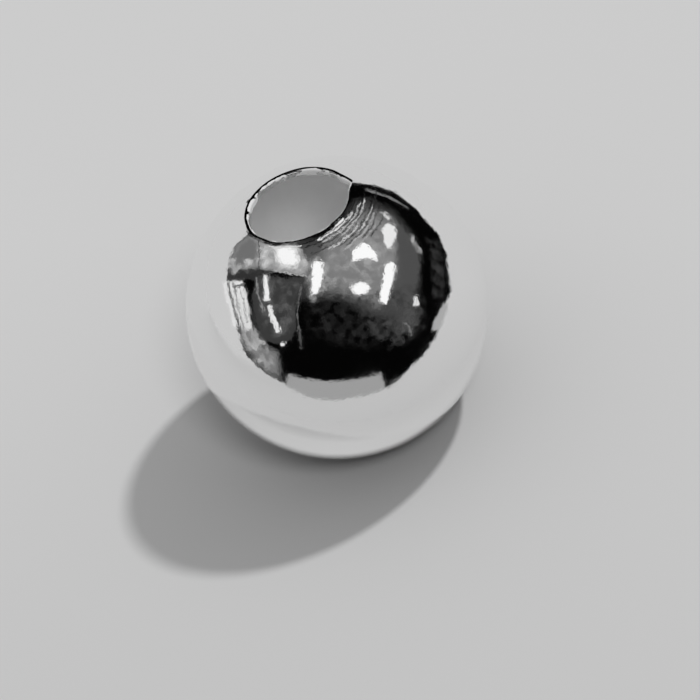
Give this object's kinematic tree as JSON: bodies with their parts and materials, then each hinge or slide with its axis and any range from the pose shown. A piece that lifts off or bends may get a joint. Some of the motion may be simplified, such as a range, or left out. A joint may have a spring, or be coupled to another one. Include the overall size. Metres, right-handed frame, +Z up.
{
  "type": "silver bead",
  "caption": "Hollow polished silver ball bead, open through both ends for a cord, with one hole's edge pulled out to a corner.",
  "frame": {"origin": "on the hole's axis, in the plane of the lower edge that the bead stands on", "axes": "+Z up along the hole's axis towards the hole with the pulled corner; the corner lies 6 degrees from +X towards +Y"},
  "size_m": [0.01, 0.01, 0.0093],
  "materials": {
    "polished_silver": "polished"
  },
  "bodies": {
    "root": {"bead": "polished_silver"}
  },
  "joints": []
}
